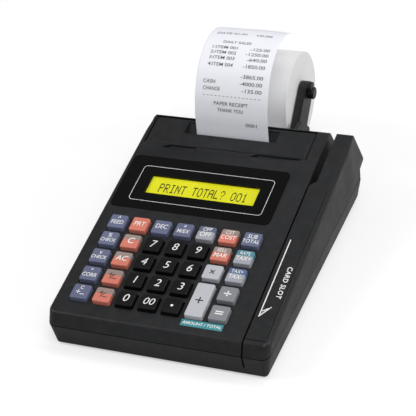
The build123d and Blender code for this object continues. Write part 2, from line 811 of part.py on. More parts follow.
def gear_outline(teeth, first_tooth_angle, centre):
    """Involute gear outline about a centre, with one tooth centred on first_tooth_angle."""
    pitch_radius = gear_module * teeth / 2
    base_radius = pitch_radius * math.cos(math.radians(20))
    tip_radius = pitch_radius + gear_module
    root_radius = pitch_radius - 1.25 * gear_module
    roll_at_pitch = math.sqrt((pitch_radius / base_radius) ** 2 - 1)
    half_tooth = math.pi / (2 * teeth) - gear_backlash / (4 * pitch_radius)
    half_base = half_tooth + roll_at_pitch - math.atan(roll_at_pitch)
    roll_at_tip = math.sqrt((tip_radius / base_radius) ** 2 - 1)
    flank = [(root_radius, half_base)]
    for step in range(5):
        roll = roll_at_tip * step / 4
        flank.append((base_radius * math.hypot(1, roll), half_base - roll + math.atan(roll)))
    points = []
    for tooth in range(teeth):
        middle = math.radians(first_tooth_angle) + 2 * math.pi * tooth / teeth
        for radius, half_angle in flank:
            points.append((radius, middle - half_angle))
        for radius, half_angle in reversed(flank):
            points.append((radius, middle + half_angle))
    return [(centre[0] + r * math.cos(a), centre[1] + r * math.sin(a)) for r, a in points]


gear_x = right_plate_x + sheet + 0.9
gear_width = 3.6
with BuildPart() as platen_gear:
    with BuildSketch(Plane.YZ.offset(gear_x)):
        with BuildLine():
            Polyline(*gear_outline(platen_teeth, motor_angle, (platen_y, platen_z)), close=True)
        make_face()
        with Locations((platen_y, platen_z)):
            Circle(platen_shaft_radius, mode=Mode.SUBTRACT)
            with PolarLocations(4.4, 5):
                Circle(1.0, mode=Mode.SUBTRACT)
    extrude(amount=gear_width)
finish(platen_gear.part, "platen_gear")

with BuildPart() as motor_gear:
    half_pitch = 180 / motor_teeth
    with BuildSketch(Plane.YZ.offset(gear_x)):
        with BuildLine():
            facing = motor_angle + 180 + half_pitch
            Polyline(*gear_outline(motor_teeth, facing, (motor_y, motor_z)), close=True)
        make_face()
    extrude(amount=gear_width)
    with BuildSketch(Plane.YZ.offset(gear_x - 0.5)):
        with Locations((motor_y, motor_z)):
            Circle(motor_shaft_radius)
    extrude(amount=16)
finish(motor_gear.part, "motor_gear")

with BuildPart() as feed_motor:
    with BuildSketch(Plane.YZ.offset(outer_plate_x + sheet)):
        with Locations((motor_y, motor_z)):
            Circle(motor_radius)
    extrude(amount=16)
    fillet(feed_motor.edges().sort_by(Axis.X)[-1], 1.0)
    with BuildSketch(Plane.YZ.offset(outer_plate_x + sheet)):
        with Locations((motor_y, motor_z)):
            Circle(motor_shaft_radius + running_clearance)
    extrude(amount=10, mode=Mode.SUBTRACT)
finish(feed_motor.part, "feed_motor")

paper_face_y = platen_y - platen_radius - 0.05 - paper_thickness
with BuildPart() as print_head:
    head_left = left_plate_x + sheet
    head_width = right_plate_x - head_left
    with Locations((head_left + head_width / 2, paper_face_y - 0.1 - 1.25, 45.5)):
        Box(head_width, 2.5, 13.0)
    with Locations((head_left + head_width / 2, paper_face_y - 0.1 - 2.5 - 1.5, 44.0)):
        Box(head_width - 8, 3.2, 3.0)
finish(print_head.part, "print_head")

# ------------------------------------------------------------------ paper
spindle_y = roll_y


def tangent_point(centre, radius, outside, side):
    """Where the tangent from an outside point touches a circle, on the chosen side."""
    dy, dz = outside[0] - centre[0], outside[1] - centre[1]
    distance = math.hypot(dy, dz)
    angle = math.atan2(dz, dy) + side * math.acos(radius / distance)
    return centre[0] + radius * math.cos(angle), centre[1] + radius * math.sin(angle)


# One sheet: off the front of the roll, in at the rear slot, round the platen and out on top.
wrap_radius = platen_radius + 0.05 + paper_thickness / 2
roll_leave = tangent_point((roll_y, roll_z), roll_radius + paper_thickness / 2 + 0.25, inlet, 1)
platen_meet = tangent_point((platen_y, platen_z), wrap_radius, inlet, -1)
platen_front = (platen_y - wrap_radius, platen_z)
arc_angle = math.radians(225)
platen_low_front = (
    platen_y + wrap_radius * math.cos(arc_angle), platen_z + wrap_radius * math.sin(arc_angle)
)
paper_curl = [
    (39.95, 57.0), (40.5, 66.0), (41.9, 77.1), (46.4, 91.0), (56.2, 105.6),
    (69.9, 114.9), (84.3, 118.4), (98.3, 117.3), (111.1, 111.5),
]

with BuildPart() as paper_strip:
    with BuildSketch(Plane.YZ.offset(paper_x[0])):
        with BuildLine():
            FilletPolyline(roll_leave, inlet, platen_meet, radius=9.0)
            ThreePointArc(platen_meet, platen_low_front, platen_front)
            Spline(platen_front, *paper_curl, tangents=[(0, 1), (0.8, -0.6)])
        trace(line_width=paper_thickness)
    extrude(amount=paper_width)
finish(paper_strip.part, "paper_strip")

with BuildPart() as paper_roll:
    with BuildSketch(Plane.YZ.offset(paper_x[0])):
        with Locations((roll_y, roll_z)):
            Circle(roll_radius)
            Circle(core_outer_radius, mode=Mode.SUBTRACT)
    extrude(amount=paper_width)
finish(paper_roll.part, "paper_roll")

with BuildPart() as roll_core:
    with BuildSketch(Plane.YZ.offset(paper_x[0])):
        with Locations((roll_y, roll_z)):
            Circle(core_outer_radius)
            Circle(core_bore_radius, mode=Mode.SUBTRACT)
    extrude(amount=paper_width)
finish(roll_core.part, "roll_core")

# ------------------------------------------------------------------ roll holder and spindle
arm_inner = paper_width / 2 + arm_gap
away = Vector(pivot_y - roll_y, pivot_z - roll_z).normalized()
tie_rod_place = (pivot_y + 8.2 * away.X, pivot_z + 8.2 * away.Y)

with BuildPart() as roll_holder:
    for side in (-1, 1):
        inner_face = paper_mid_x + side * arm_inner
        outer_face = inner_face + side * arm_thickness
        with BuildSketch(Plane.YZ.offset(inner_face)):
            with Locations((pivot_y, pivot_z)):
                Circle(arm_base_radius)
            with Locations((spindle_y, spindle_z)):
                Circle(arm_top_radius)
            make_hull()
            with Locations((spindle_y, spindle_z)):
                Circle(spindle_radius + running_clearance, mode=Mode.SUBTRACT)
        extrude(amount=side * arm_thickness)
        with BuildSketch(Plane.YZ.offset(outer_face)):
            with Locations((pivot_y, pivot_z)):
                Circle(pivot_pin_radius)
        extrude(amount=side * (lug_gap + lug_thickness + 0.8))
    # Hood over the spindle's cap, on the outside of the right arm.
    with BuildSketch(Plane.YZ.offset(paper_mid_x + arm_inner + arm_thickness)):
        with Locations((spindle_y - 1.0, spindle_z + 6.0)):
            Circle(4.0)
        with Locations((spindle_y, spindle_z)):
            Circle(cap_radius + 0.4, mode=Mode.SUBTRACT)
    extrude(amount=3.6)
    # Tie rod between the arms, in front of the roll.
    with BuildSketch(Plane.YZ.offset(paper_mid_x - arm_inner - 1.0)):
        with Locations(tie_rod_place):
            Circle(1.5)
    extrude(amount=2 * arm_inner + 2.0)
finish(roll_holder.part, "roll_holder")

with BuildPart() as spindle:
    left_end = paper_mid_x - arm_inner - arm_thickness - 2.0
    right_face = paper_mid_x + arm_inner + arm_thickness
    with BuildSketch(Plane.YZ.offset(left_end)):
        with Locations((spindle_y, spindle_z)):
            Circle(spindle_radius)
    extrude(amount=right_face - left_end + 1.0)
    chamfer(spindle.edges().sort_by(Axis.X)[0], 0.8)
    with BuildSketch(Plane.YZ.offset(right_face + 0.3)):
        with Locations((spindle_y, spindle_z)):
            Circle(cap_radius)
    extrude(amount=cap_thickness)
    fillet(spindle.edges().sort_by(Axis.X)[-1], 1.0)
finish(spindle.part, "spindle")
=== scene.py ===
import json
import math
import bmesh
import bpy
from mathutils import Matrix, Vector


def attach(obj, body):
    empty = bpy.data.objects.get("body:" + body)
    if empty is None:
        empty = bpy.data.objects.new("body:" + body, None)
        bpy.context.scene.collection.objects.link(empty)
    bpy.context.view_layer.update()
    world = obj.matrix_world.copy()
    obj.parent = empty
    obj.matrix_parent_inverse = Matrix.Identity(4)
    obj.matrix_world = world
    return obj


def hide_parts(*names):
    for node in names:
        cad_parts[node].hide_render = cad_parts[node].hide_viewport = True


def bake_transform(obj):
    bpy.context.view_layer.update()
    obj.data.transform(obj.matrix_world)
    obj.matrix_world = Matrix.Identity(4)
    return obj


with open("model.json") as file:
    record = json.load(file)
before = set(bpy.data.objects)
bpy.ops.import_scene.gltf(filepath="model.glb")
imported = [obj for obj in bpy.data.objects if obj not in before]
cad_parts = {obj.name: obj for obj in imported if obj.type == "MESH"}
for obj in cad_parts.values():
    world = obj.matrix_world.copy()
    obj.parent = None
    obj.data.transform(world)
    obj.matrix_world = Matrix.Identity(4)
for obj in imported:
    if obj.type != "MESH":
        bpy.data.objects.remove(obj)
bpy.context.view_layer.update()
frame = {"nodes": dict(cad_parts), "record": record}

MM = 0.001

# ---------------------------------------------------------------- places, in millimetres
RIDGE_Y, RIDGE_Z = -147.0, 28.45      # front edge of the sloping deck
DECK_ANGLE = math.radians(9.5)
SLOPE = Vector((0, math.cos(DECK_ANGLE), math.sin(DECK_ANGLE)))
NORMAL = Vector((0, -math.sin(DECK_ANGLE), math.cos(DECK_ANGLE)))
KEY_TOP = 3.2
FIRST_KEY_X, FIRST_KEY_V = -62.0, 87.0
KEY_PITCH_X, KEY_PITCH_V = 17.0, 17.1
BEZEL_PROUD = 0.2
PAPER_X = (-38.9, 18.6)
PAPER_MID = (PAPER_X[0] + PAPER_X[1]) / 2
ROLL_Y, ROLL_Z, ROLL_RADIUS = 115.3, 51.2, 36.2


def deck_matrix(x, v, height):
    """Places a flat piece on the deck: its x to the right, its y up the slope."""
    place = Vector((x, RIDGE_Y, RIDGE_Z)) + SLOPE * v + NORMAL * height
    return Matrix.Translation(place * MM) @ Matrix.Rotation(DECK_ANGLE, 4, "X")


# ---------------------------------------------------------------- materials
def rgb(code):
    """A linear colour from a hex code."""
    values = []
    for start in (1, 3, 5):
        value = int(code[start:start + 2], 16) / 255
        values.append(value / 12.92 if value <= 0.04045 else ((value + 0.055) / 1.055) ** 2.4)
    return (*values, 1.0)


class Shader:
    """A node material with a Principled shader and a few helpers."""

    def __init__(self, name):
        self.material = bpy.data.materials.new(name)
        self.material.use_nodes = True
        self.tree = self.material.node_tree
        self.main = self.tree.nodes["Principled BSDF"]
        self.place = self.add("ShaderNodeTexCoord").outputs["Object"]

    def add(self, kind, **settings):
        node = self.tree.nodes.new(kind)
        for key, value in settings.items():
            setattr(node, key, value)
        return node

    def link(self, source, target):
        self.tree.links.new(source, target)

    def feed(self, socket, source):
        self.link(source, self.main.inputs[socket])

    def set(self, **values):
        for key, value in values.items():
            self.main.inputs[key.replace("_", " ")].default_value = value

    def noise(self, scale, detail=2.0, place=None, roughness=0.5):
        node = self.add("ShaderNodeTexNoise")
        node.inputs["Scale"].default_value = scale
        node.inputs["Detail"].default_value = detail
        node.inputs["Roughness"].default_value = roughness
        self.link(place or self.place, node.inputs["Vector"])
        return node.outputs["Fac"]

    def math(self, operation, first, second=0.0):
        node = self.add("ShaderNodeMath", operation=operation)
        for socket, value in zip(node.inputs, (first, second)):
            if isinstance(value, (int, float)):
                socket.default_value = value
            else:
                self.link(value, socket)
        return node.outputs[0]

    def spread(self, value, low, high, start=0.3, end=0.7):
        node = self.add("ShaderNodeMapRange")
        node.inputs["From Min"].default_value = start
        node.inputs["From Max"].default_value = end
        node.inputs["To Min"].default_value = low
        node.inputs["To Max"].default_value = high
        self.link(value, node.inputs["Value"])
        return node.outputs["Result"]

    def mix(self, amount, first, second):
        node = self.add("ShaderNodeMix", data_type="RGBA")
        self.link(amount, node.inputs["Factor"])
        for index, value in ((6, first), (7, second)):
            if isinstance(value, tuple):
                node.inputs[index].default_value = value
            else:
                self.link(value, node.inputs[index])
        return node.outputs[2]

    def mottle(self, color, low, high, scale, detail):
        """The colour in uneven patches, from low to high times its strength."""
        patches = self.spread(self.noise(scale, detail), 0, 1)
        return self.mix(patches, scaled(color, low), scaled(color, high))

    def bump(self, height, distance, strength):
        node = self.add("ShaderNodeBump")
        node.inputs["Distance"].default_value = distance
        node.inputs["Strength"].default_value = strength
        self.link(height, node.inputs["Height"])
        self.feed("Normal", node.outputs["Normal"])

    def along(self, direction, origin=(0, 0, 0)):
        """Distance of a point from origin along a direction, in metres."""
        node = self.add("ShaderNodeVectorMath", operation="DOT_PRODUCT")
        self.link(self.place, node.inputs[0])
        node.inputs[1].default_value = direction
        return self.math("SUBTRACT", node.outputs["Value"], Vector(direction).dot(Vector(origin)))

    def edges(self, low=0.5, high=0.56):
        """Rises to 1 on convex edges."""
        return self.spread(self.add("ShaderNodeNewGeometry").outputs["Pointiness"], 0.0, 1.0, low, high)


def scaled(color, factor):
    return (color[0] * factor, color[1] * factor, color[2] * factor, 1.0)


def moulded(name, code, rough=0.45, grain=2600, depth=0.00004, vary=0.08, edge_wear_and_highlight=0.35, split=None,
            shine=0.35):
    """Moulded plastic: fine spark grain, faint cloudiness, uneven sheen, and paler convex edges that are
    partly rubbed wear and partly a painted highlight.
    """
    shader = Shader(name)
    color = rgb(code)
    base = shader.mottle(color, 1 - vary, 1 + vary, 22, 3)
    if split:
        top_code, start = split
        top = shader.mottle(rgb(top_code), 1 - vary, 1 + vary, 30, 3)
        side = shader.along(tuple(SLOPE), start)
        base = shader.mix(shader.spread(side, 0, 1, -0.00012, 0.00012), base, top)
    # Convex edges are painted paler: partly rubbed wear, partly a painted highlight standing in for light
    # caught on the edges.
    if edge_wear_and_highlight:
        worn_and_highlight_color = tuple(value + 0.10 * edge_wear_and_highlight for value in color[:3]) + (1.0,)
        rubbed_and_highlit_edges = shader.math("MULTIPLY", shader.edges(), shader.spread(shader.noise(160, 4), 0.1, edge_wear_and_highlight))
        base = shader.mix(rubbed_and_highlit_edges, base, worn_and_highlight_color)
    shader.feed("Base Color", base)
    shader.feed("Roughness", shader.spread(shader.noise(70, 3), rough - 0.05, rough + 0.06))
    shader.set(Specular_IOR_Level=shine)
    shader.bump(shader.noise(grain, 2), depth, 0.6)
    return shader.material


def glossy(name, code, rough=0.12, shine=0.5):
    """Hard gloss plastic with a faint orange-peel surface and fine dust in its sheen."""
    shader = Shader(name)
    color = rgb(code)
    base = shader.mottle(color, 0.9, 1.15, 35, 4)
    shader.feed("Base Color", base)
    dust = shader.noise(420, 5, roughness=0.7)
    shader.feed("Roughness", shader.spread(dust, rough, rough + 0.12, 0.45, 0.75))
    shader.set(Specular_IOR_Level=shine)
    shader.bump(shader.noise(140, 2), 0.00004, 0.15)
    return shader.material


def rubber(name, code):
    shader = Shader(name)
    color = rgb(code)
    base = shader.mottle(color, 0.85, 1.25, 45, 4)
    shader.feed("Base Color", base)
    shader.feed("Roughness", shader.spread(shader.noise(300, 3), 0.7, 0.9))
    shader.bump(shader.noise(3200, 3), 0.00006, 0.7)
    return shader.material


def steel(name, code, along=(1, 0, 0)):
    """Pressed sheet steel with rolling lines along one direction."""
    shader = Shader(name)
    stretch = shader.add("ShaderNodeMapping")
    stretch.inputs["Scale"].default_value = tuple(0.04 if part else 1.0 for part in along)
    shader.link(shader.place, stretch.inputs["Vector"])
    lines = shader.noise(1800, 4, stretch.outputs["Vector"])
    color = rgb(code)
    base = shader.mix(shader.spread(lines, 0, 1), scaled(color, 0.82), scaled(color, 1.08))
    shader.feed("Base Color", base)
    shader.feed("Roughness", shader.spread(shader.noise(60, 4), 0.28, 0.42))
    shader.set(Metallic=1.0)
    shader.bump(lines, 0.00002, 0.35)
    return shader.material


def paper(name, code, rings=None):
    """Smooth paper with a faint fibre; rings gives the edges of the wound turns on the roll's ends."""
    shader = Shader(name)
    color = rgb(code)
    fibre = shader.noise(900, 6, roughness=0.75)
    base = shader.mix(shader.spread(fibre, 0, 1), scaled(color, 0.96), color)
    height = fibre
    if rings:
        shift = shader.add("ShaderNodeVectorMath", operation="SUBTRACT")
        shader.link(shader.place, shift.inputs[0])
        shift.inputs[1].default_value = rings
        flat = shader.add("ShaderNodeVectorMath", operation="MULTIPLY")
        shader.link(shift.outputs[0], flat.inputs[0])
        flat.inputs[1].default_value = (0, 1, 1)
        radius = shader.add("ShaderNodeVectorMath", operation="LENGTH")
        shader.link(flat.outputs[0], radius.inputs[0])
        bands = shader.add("ShaderNodeCombineXYZ")
        shader.link(radius.outputs["Value"], bands.inputs["X"])
        turns = shader.noise(2600, 3, bands.outputs[0])
        broad = shader.noise(420, 2, bands.outputs[0])
        side = shader.add("ShaderNodeSeparateXYZ")
        shader.link(shader.add("ShaderNodeNewGeometry").outputs["Normal"], side.inputs[0])
        end_face = shader.spread(shader.math("ABSOLUTE", side.outputs["X"]), 0, 1, 0.6, 0.9)
        shade = shader.math("MULTIPLY", end_face, shader.spread(turns, 0.0, 0.30, 0.35, 0.7))
        base = shader.mix(shade, base, scaled(color, 0.62))
        shade = shader.math("MULTIPLY", end_face, shader.spread(broad, 0.0, 0.25, 0.4, 0.7))
        base = shader.mix(shade, base, scaled(color, 0.75))
        height = shader.math("ADD", fibre, shader.math("MULTIPLY", end_face, turns))
    shader.feed("Base Color", base)
    shader.feed("Roughness", shader.spread(fibre, 0.55, 0.7))
    shader.bump(height, 0.00003, 0.35)
    return shader.material


def circuit_board(name):
    """Green solder mask over darker tracks, with bare pads in rows."""
    shader = Shader(name)
    tracks = shader.add("ShaderNodeTexBrick")
    tracks.inputs["Scale"].default_value = 95
    tracks.inputs["Mortar Size"].default_value = 0.035
    tracks.inputs["Color1"].default_value = rgb("#1C5A38")
    tracks.inputs["Color2"].default_value = rgb("#236A42")
    tracks.inputs["Mortar"].default_value = rgb("#2F8A58")
    shader.link(shader.place, tracks.inputs["Vector"])
    cells = shader.add("ShaderNodeTexVoronoi")
    cells.inputs["Scale"].default_value = 220
    shader.link(shader.place, cells.inputs["Vector"])
    pads = shader.spread(cells.outputs["Distance"], 1, 0, 0.10, 0.14)
    shader.feed("Base Color", shader.mix(pads, tracks.outputs["Color"], rgb("#C9A86A")))
    shader.feed("Roughness", shader.spread(shader.noise(80, 3), 0.25, 0.4))
    shader.bump(tracks.outputs["Fac"], 0.00003, 0.4)
    return shader.material


def printed(name, code, rough=0.5):
    """Screen-printed ink with slightly uneven cover."""
    shader = Shader(name)
    color = rgb(code)
    base = shader.mottle(color, 0.86, 1.0, 1500, 4)
    shader.feed("Base Color", base)
    shader.feed("Roughness", shader.spread(shader.noise(400, 3), rough - 0.08, rough + 0.08))
    shader.bump(shader.noise(4000, 2), 0.00001, 0.4)
    return shader.material


def lit_display(name):
    """Yellow-green backlit panel, unevenly bright in broad soft patches."""
    shader = Shader(name)
    base = shader.mix(shader.spread(shader.noise(30, 2), 0, 1), rgb("#DEDC10"), rgb("#E8E622"))
    shader.feed("Base Color", base)
    shader.feed("Emission Color", base)
    shader.set(Emission_Strength=0.3)
    shader.feed("Roughness", shader.spread(shader.noise(500, 2), 0.3, 0.4))
    return shader.material


def clear_window(name):
    """Thin clear plastic window: nearly all see-through, with a faint sheen."""
    shader = Shader(name)
    shader.set(IOR=1.45, Base_Color=(0.02, 0.02, 0.02, 1.0), Alpha=0.08)
    shader.feed("Roughness", shader.spread(shader.noise(300, 4), 0.02, 0.07))
    return shader.material


# The edge setting paints convex edges paler, partly as wear and partly as a painted highlight.
CASE = moulded("case_plastic", "#17181A", rough=0.4, edge_wear_and_highlight=0.3, shine=0.3)
COVER = moulded("cover_plastic", "#151618", rough=0.38, edge_wear_and_highlight=0.3, shine=0.3)
finishes = {
    "case_black": CASE,
    "bezel_black": glossy("bezel_gloss", "#070708", shine=0.16),
    "display_clear": clear_window("display_window_clear"),
    "lcd_yellow": lit_display("display_backlight"),
    "mat_rubber": rubber("keypad_silicone", "#8E9296"),
    "board_green": circuit_board("circuit_board"),
    "head_steel": steel("head_steel", "#9A9DA0", (0, 1, 0)),
    "frame_steel": steel("frame_steel", "#A4A8AB"),
    "head_ceramic": glossy("head_ceramic", "#E2DED2", 0.2),
    "platen_rubber": rubber("platen_rubber", "#222325"),
    "gear_white": moulded("gear_acetal", "#E6E2D6", rough=0.35, grain=1500, depth=0.00002, edge_wear_and_highlight=0.1),
    "paper_white": paper("roll_paper", "#F4F4F5", rings=(0, ROLL_Y * MM, ROLL_Z * MM)),
    "core_grey": moulded("core_plastic", "#8A8D90", rough=0.5),
    "holder_black": moulded("holder_plastic", "#0E0F10", rough=0.34, edge_wear_and_highlight=0.3, shine=0.3),
    "spindle_grey": moulded("spindle_plastic", "#0C0D0E", rough=0.3, edge_wear_and_highlight=0.3),
    "foot_rubber": rubber("foot_rubber", "#17181A"),
    "jack_black": glossy("jack_plastic", "#101112", 0.3),
}

SLATE, SLATE_TOP, CORAL, TAUPE = "#636883", "#585D78", "#CE7766", "#93847F"
LIGHT, MID, PALE, TEAL_TOP, BLUE_TOP = "#B3B4BA", "#7F8187", "#9C9EA7", "#4C8495", "#536990"
key_colors = {
    "black": "#08080A", "slate": SLATE, "coral": CORAL, "light": LIGHT, "mid": MID, "pale": PALE,
}

# Small legends are set in tall narrow letters.
LEGEND_NARROW, LEGEND_TALL = 1.08, 1.3
SIGN_CHANGE = [("plus", -1.6, 1.6, 3.6), ("slash", 0, 0, 5.6), ("minus", 1.8, -1.8, 3.6)]

# Each key: colour, colour of its upper part or None, ink, and its legend as (text, x, v, size) in mm.
KEYS = [
    [("feed", "slate", None, "white", [("^", 0, 3.1, 4.2), ("FEED", 0, -1.0, 4.0)]),
     ("print", "coral", None, "white", [("PRT", 0, 0, 4.6)]),
     ("decimal", "slate", None, "white", [("DEC", 0, 0.4, 4.4)]),
     ("memory", "slate", None, "white", [("*", 0, 2.6, 4.0), ("M/EX", 0, -1.4, 3.8)]),
     ("off", "pale", SLATE_TOP, "white", [("OFF", 0, 3.4, 3.6), ("OFF", 0, -1.4, 4.6)]),
     ("cost", "coral", TAUPE, "white", [("CST", 0, 3.4, 3.4), ("COST", 0, -1.4, 4.0)]),
     ("subtotal", "slate", None, "white", [("SUB", 0, 2.3, 3.9), ("TOTAL", 0, -2.2, 3.7)])],
    [("check_up", "slate", None, "white", [("%", 0, 2.7, 4.2), ("CHECK", 0, -1.8, 3.3)]),
     ("clear", "coral", TAUPE, "white", [("C", 0, 0.2, 7.4)]),
     ("7", "black", None, "white", [("7", 0, 0.1, 9.2)]),
     ("8", "black", None, "white", [("8", 0, 0.1, 9.2)]),
     ("9", "black", None, "white", [("9", 0, 0.1, 9.2)]),
     ("margin", "coral", TAUPE, "white", [("SELL", 0, 3.3, 3.4), ("MAR", 0, -1.5, 4.4)]),
     ("tax_plus", "pale", TEAL_TOP, "white", [("RATE", 0, 3.3, 3.0), ("TAX+", 0, -1.5, 4.0)])],
    [("check_down", "slate", None, "white", [("v", 0, 3.0, 4.2), ("CHECK", 0, -1.6, 3.3)]),
     ("all_clear", "coral", TAUPE, "white", [("AC", 0, 0.2, 6.4)]),
     ("4", "black", None, "white", [("4", 0, 0.1, 9.2)]),
     ("5", "black", None, "white", [("5", 0, 0.1, 9.2)]),
     ("6", "black", None, "white", [("6", 0, 0.1, 9.2)]),
     ("multiply", "light", None, "dark", [("cross", 0, 0, 4.6)]),
     ("tax_minus", "pale", BLUE_TOP, "white", [("TAX+", 0, 3.3, 3.2), ("TAX-", 0, -1.5, 4.0)])],
    [("correct", "slate", None, "white", [("*", 0, 2.6, 4.0), ("CORR", 0, -1.6, 3.7)]),
     ("sign_up", "coral", TAUPE, "dark", SIGN_CHANGE),
     ("1", "black", None, "white", [("1", 0, 0.1, 9.2)]),
     ("2", "black", None, "white", [("2", 0, 0.1, 9.2)]),
     ("3", "black", None, "white", [("3", 0, 0.1, 9.2)]),
     ("plus", "light", None, "dark", [("plus", 0, -0.6, 5.6)]),
     ("divide", "mid", None, "white", [("divide", 0, 0, 5.4)])],
    [("plus_minus", "slate", None, "white",
      [("C", 0, 3.2, 3.4), ("plus", -1.6, -0.6, 3.2), ("minus", 1.8, -2.4, 3.2)]),
     ("sign_down", "coral", TAUPE, "dark", SIGN_CHANGE),
     ("0", "black", None, "white", [("0", 0, 0.1, 9.2)]),
     ("00", "black", None, "white", [("00", 0, 0.1, 8.4)]),
     ("point", "black", None, "white", [("dot", 0, 0, 2.0)]),
     None,
     ("equals", "mid", None, "white", [("equals", 0, 0, 5.6)])],
]


# Key edges are painted paler, partly as wear and partly as a painted highlight.
KEY_ROUGH, KEY_EDGE_WEAR_AND_HIGHLIGHT = 0.4, 0.25
SPLIT_V = 1.2                         # where the upper colour of a two-tone key starts


def key_place(row, column):
    return FIRST_KEY_X + column * KEY_PITCH_X, FIRST_KEY_V - row * KEY_PITCH_V


def paint_nodes():
    slots = {entry["node"]: entry["material_slot"] for entry in frame["record"]["subparts"]}
    for node, piece in frame["nodes"].items():
        finish = finishes.get(slots[node])
        if finish:
            set_material(piece, finish)
    for node in ("printer_cover", "reader_cover", "battery_door"):
        set_material(frame["nodes"][node], COVER)
    plain = {}
    for name, code in key_colors.items():
        shine = 0.22 if name == "black" else 0.35
        plain[name] = moulded("key_" + name, code, rough=KEY_ROUGH, edge_wear_and_highlight=KEY_EDGE_WEAR_AND_HIGHLIGHT, shine=shine)
    for row, keys in enumerate(KEYS):
        for column, entry in enumerate(keys):
            if entry is None:
                continue
            name, color, upper, ink, legend = entry
            finish = plain[color]
            if upper:
                x, v = key_place(row, column)
                start = deck_matrix(x, v + SPLIT_V, 0).translation
                finish = moulded(f"key_{name}_two_tone", key_colors[color], KEY_ROUGH, edge_wear_and_highlight=KEY_EDGE_WEAR_AND_HIGHLIGHT,
                                 split=(upper, start))
            set_material(frame["nodes"]["key_" + name], finish)


def set_material(piece, finish):
    if not piece.material_slots:
        piece.data.materials.append(finish)
    for slot in piece.material_slots:
        slot.material = finish


# ---------------------------------------------------------------- printed shapes
def text_shape(words, size, bold=0.0, shear=0.0, thickness=0.03, spacing=1.0):
    """Lettering as a thin closed mesh in millimetres, centred on its own middle height."""
    curve = bpy.data.curves.new("words", "FONT")
    curve.body = words
    curve.size = size
    curve.offset = bold
    curve.shear = shear
    curve.extrude = thickness
    curve.space_character = spacing
    curve.resolution_u = 4
    curve.align_x = "CENTER"
    curve.align_y = "CENTER"
    holder = bpy.data.objects.new("words", curve)
    bpy.context.collection.objects.link(holder)
    bpy.context.view_layer.update()
    mesh = bpy.data.meshes.new_from_object(holder.evaluated_get(bpy.context.evaluated_depsgraph_get()))
    bpy.data.objects.remove(holder)
    bpy.data.curves.remove(curve)
    shape = bmesh.new()
    shape.from_mesh(mesh)
    bpy.data.meshes.remove(mesh)
    return shape


def bars_shape(bars, thickness=0.03):
    """Flat bars as a thin closed mesh: each bar is (x, y, length, width, angle) in millimetres."""
    shape = bmesh.new()
    for x, y, length, width, angle in bars:
        place = Matrix.Translation((x, y, 0)) @ Matrix.Rotation(math.radians(angle), 4, "Z")
        size = Matrix.Diagonal((length, width, 2 * thickness, 1))
        bmesh.ops.create_cube(shape, size=1.0, matrix=place @ size)
    return shape


def sign_shape(kind, size):
    """A mathematical sign of the given size, or None if kind isn't one."""
    thin = size * 0.17
    dot = thin * 1.3
    bars = {
        "plus": [(0, 0, size, thin, 0), (0, 0, size, thin * 0.999, 90)],
        "minus": [(0, 0, size, thin, 0)],
        "cross": [(0, 0, size, thin, 45), (0, 0, size, thin * 0.999, -45)],
        "slash": [(0, 0, size, thin * 0.7, 55)],
        "equals": [(0, size * 0.17, size, thin, 0), (0, -size * 0.17, size, thin, 0)],
        "divide": [(0, 0, size, thin, 0), (0, size * 0.3, dot, dot, 0), (0, -size * 0.3, dot, dot, 0)],
    }
    if kind == "dot":
        shape = bmesh.new()
        radius = size / 2
        bmesh.ops.create_cone(shape, cap_ends=True, segments=20, radius1=radius, radius2=radius, depth=0.06)
        return shape
    return bars_shape(bars[kind]) if kind in bars else None


def piece_from(name, shapes, finish, body):
    """Joins shapes, each (bmesh in millimetres, matrix in metres), into one piece, on a body if given."""
    mesh = bpy.data.meshes.new(name)
    joined = bmesh.new()
    for shape, place in shapes:
        bmesh.ops.transform(shape, matrix=place @ Matrix.Scale(MM, 4), verts=shape.verts)
        part = bpy.data.meshes.new("part")
        shape.to_mesh(part)
        shape.free()
        joined.from_mesh(part)
        bpy.data.meshes.remove(part)
    joined.to_mesh(mesh)
    joined.free()
    piece = bpy.data.objects.new(name, mesh)
    bpy.context.collection.objects.link(piece)
    set_material(piece, finish)
    if body:
        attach(piece, body)
    return piece


WHITE_INK = printed("ink_white", "#F2F2F0")
DARK_INK = printed("ink_dark", "#2B2A2C")


def key_legends():
    inks = {"white": (WHITE_INK, "print_white"), "dark": (DARK_INK, "print_dark")}
    for row, keys in enumerate(KEYS):
        for column, entry in enumerate(keys):
            if entry is None:
                continue
            name, color, upper, ink, legend = entry
            x, v = key_place(row, column)
            if name == "plus":
                v -= KEY_PITCH_V / 2
            shapes = []
            for words, dx, dv, size in legend:
                shape = sign_shape(words, size)
                if shape is None:
                    bold, shear = (-0.005, 0.14) if words.isdigit() else (0.004, 0.1)
                    shape = text_shape(words, size, bold=size * bold, shear=shear)
                    if size < 5:
                        bmesh.ops.scale(shape, vec=(LEGEND_NARROW, LEGEND_TALL, 1), verts=shape.verts)
                shapes.append((shape, deck_matrix(x + dx, v + dv, KEY_TOP + 0.01)))
            finish, slot = inks[ink]
            piece_from("legend_" + name, shapes, finish, "key_" + name)


# ---------------------------------------------------------------- display
DOTS = {
    "P": "11110 10001 10001 11110 10000 10000 10000", "R": "11110 10001 10001 11110 10100 10010 10001",
    "I": "01110 00100 00100 00100 00100 00100 01110", "N": "10001 11001 10101 10101 10011 10001 10001",
    "T": "11111 00100 00100 00100 00100 00100 00100", "O": "01110 10001 10001 10001 10001 10001 01110",
    "A": "01110 10001 10001 11111 10001 10001 10001", "L": "10000 10000 10000 10000 10000 10000 11111",
    "?": "01110 10001 00001 00010 00100 00000 00100", "0": "01110 10001 10001 10001 10001 10001 01110",
    "1": "00100 01100 00100 00100 00100 00100 01110", " ": "00000 00000 00000 00000 00000 00000 00000",
}


